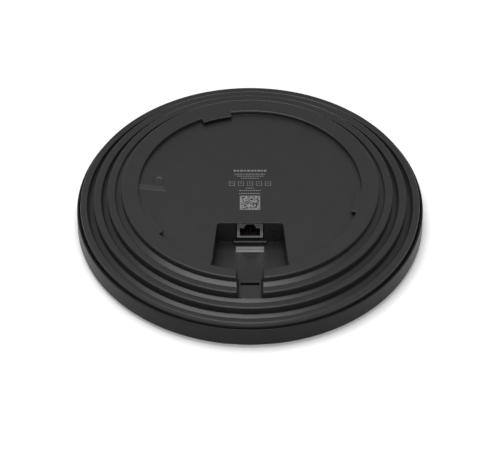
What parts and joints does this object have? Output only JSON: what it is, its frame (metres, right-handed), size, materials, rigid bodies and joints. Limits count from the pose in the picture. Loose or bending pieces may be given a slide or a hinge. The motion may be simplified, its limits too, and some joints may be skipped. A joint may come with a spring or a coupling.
{
  "type": "ceiling access point",
  "caption": "Round ceiling access point with a stepped rear case, a twist-lock recess, a port well with a network jack and a cable channel.",
  "frame": {"origin": "centre of the mounting plane, which is the highest flat ring of the rear case", "axes": "+Z points at the ceiling, -Y is the side where the cable channel leaves, +X is to the right seen from above with the channel at the bottom"},
  "size_m": [0.215, 0.215, 0.0325],
  "materials": {
    "case_plastic": "fine satin texture, dark neutral grey",
    "cover_plastic": "satin, dark neutral grey",
    "seal_rubber": "matte black",
    "board_laminate": "solder mask over glass laminate",
    "screw_steel": "zinc plated",
    "spreader_aluminium": "die cast, bare",
    "plate_aluminium": "rolled sheet",
    "pad_silicone": "soft matte",
    "chip_resin": "moulded epoxy",
    "shield_tin": "tin plated sheet",
    "ferrite": "ground ferrite",
    "winding_tape": "polyester tape",
    "capacitor_sleeve": "shrink sleeve",
    "capacitor_ceramic": "fired ceramic",
    "jack_metal": "nickel plated sheet",
    "jack_plastic": "moulded black",
    "contact_gold": "gold plated",
    "switch_plastic": "moulded black",
    "plunger_plastic": "moulded light grey",
    "led_resin": "clear resin",
    "light_pipe_clear": "clear polycarbonate, frosted end",
    "standoff_brass": "turned",
    "antenna_metal": "tin plated brass sheet",
    "lead_jacket": "fluoropolymer jacket",
    "label_film": "printed film"
  },
  "bodies": {
    "housing": {"rear_case": "case_plastic", "front_cover": "cover_plastic", "seam_seal": "seal_rubber", "main_board": "board_laminate", "board_screws": "screw_steel", "heat_spreader": "spreader_aluminium", "spreader_screws": "screw_steel", "thermal_pads": "pad_silicone", "processor": "chip_resin", "memory_chips": "chip_resin", "flash_chip": "chip_resin", "radio_chips": "chip_resin", "amplifier_chips": "chip_resin", "shield_frames": "shield_tin", "shield_lids": "shield_tin", "poe_controller": "chip_resin", "poe_transformer_core": "ferrite", "poe_transformer_winding": "winding_tape", "bulk_capacitors": "capacitor_sleeve", "power_inductors": "ferrite", "bridge_rectifiers": "chip_resin", "board_capacitors": "capacitor_ceramic", "crystals": "shield_tin", "lan_magnetics": "chip_resin", "jack_shell": "jack_metal", "jack_insert": "jack_plastic", "jack_contacts": "contact_gold", "reset_switch_body": "switch_plastic", "reset_switch_legs": "shield_tin", "status_led": "led_resin", "light_pipe": "light_pipe_clear", "antenna_plate": "plate_aluminium", "plate_standoffs": "standoff_brass", "plate_screws": "screw_steel", "low_band_antennas": "antenna_metal", "high_band_antennas": "antenna_metal", "antenna_leads": "lead_jacket", "lead_connectors": "contact_gold", "well_label": "label_film"},
    "reset_button": {"reset_plunger": "plunger_plastic"}
  },
  "joints": [
    {"name": "reset_press", "type": "slide", "parent": "housing", "child": "reset_button", "axis": [0, 1, 0], "range_m": [0, 0.0003], "stiffness_N_per_m": 4000, "springref_m": -0.0002}
  ]
}
